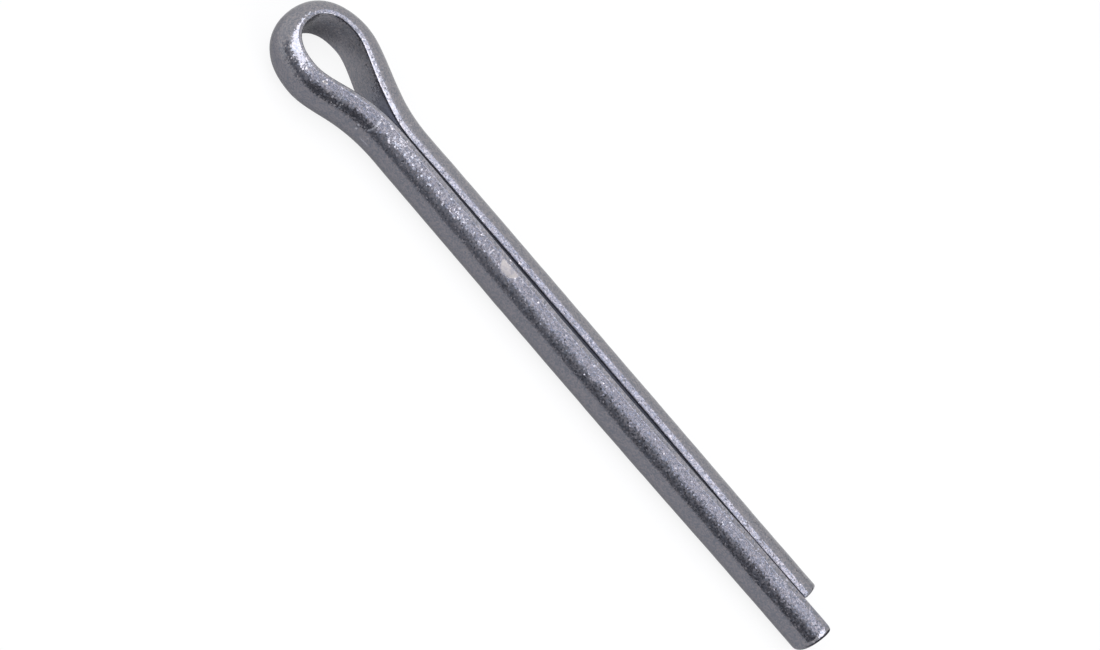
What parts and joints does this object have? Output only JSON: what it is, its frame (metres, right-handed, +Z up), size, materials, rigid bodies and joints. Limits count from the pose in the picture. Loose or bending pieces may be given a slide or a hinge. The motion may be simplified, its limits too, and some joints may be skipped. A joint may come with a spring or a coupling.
{
  "type": "cotter pin",
  "caption": "Split cotter pin of half-round wire with a teardrop eye and unequal legs, pushed through a cross hole and spread to lock a bolt or clevis pin.",
  "frame": {"origin": "on the shank's axis at the eye's foot, where the two legs close on each other", "axes": "+X along the shank toward the tips, +Y toward the short leg, +Z up, square to the plane of the eye"},
  "size_m": [0.0827, 0.0109, 0.0056],
  "materials": {
    "zinc_plated_steel": "clear zinc plating on drawn steel wire, satin and finely grained"
  },
  "bodies": {
    "root": {"pin": "zinc_plated_steel"}
  },
  "joints": []
}
